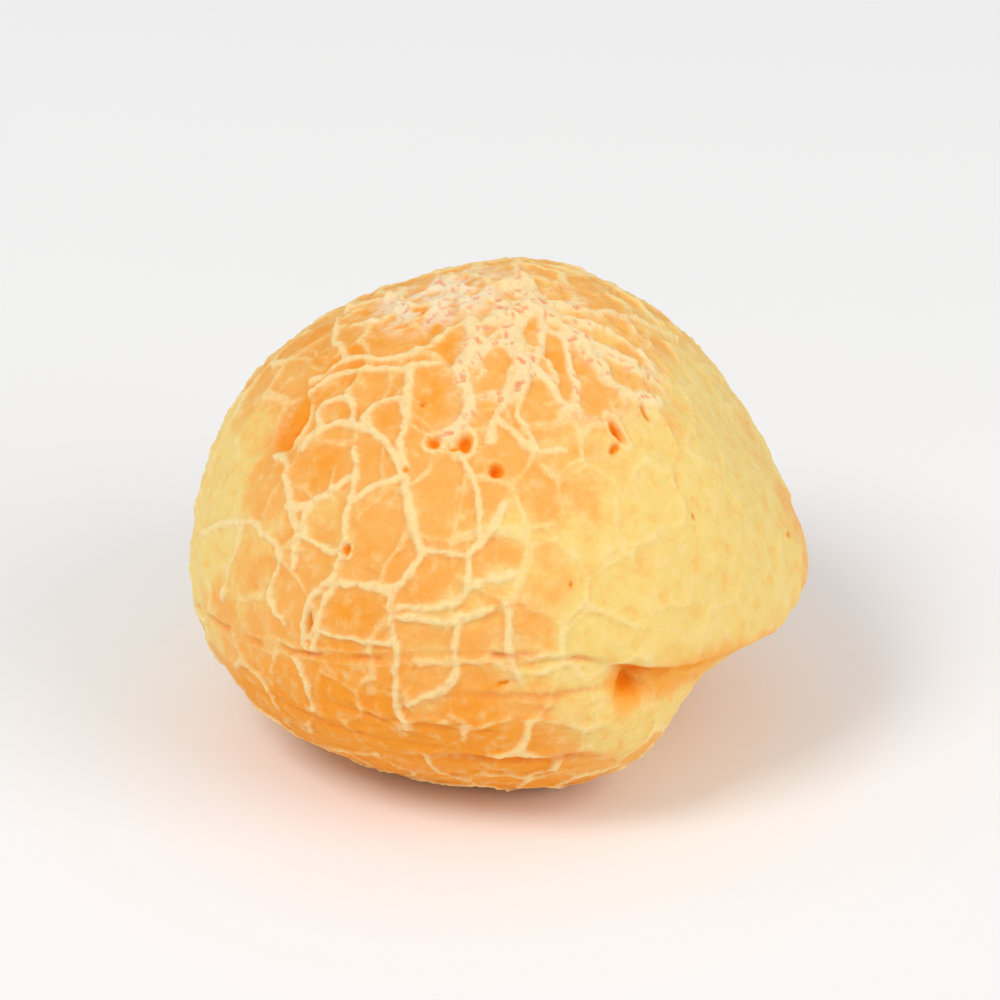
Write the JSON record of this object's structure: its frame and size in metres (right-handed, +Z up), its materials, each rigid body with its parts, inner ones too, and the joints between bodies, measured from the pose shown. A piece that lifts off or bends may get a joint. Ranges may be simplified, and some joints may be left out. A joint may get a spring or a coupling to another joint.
{
  "type": "pao de queijo cheese ball",
  "caption": "Round puffed cheese bread with a tall crackled dome, a lip over an open crack, a tucked-in lower half and a small flat foot.",
  "frame": {"origin": "on the tray, under the middle of the ball's bounding box, at the level of the flat foot", "axes": "+Z up through the crown; -Y is the front; the open part of the crack lies between -Y and +X"},
  "size_m": [0.0516, 0.0502, 0.039],
  "materials": {
    "crust": null
  },
  "bodies": {
    "root": {"cheese_ball": "crust"}
  },
  "joints": []
}
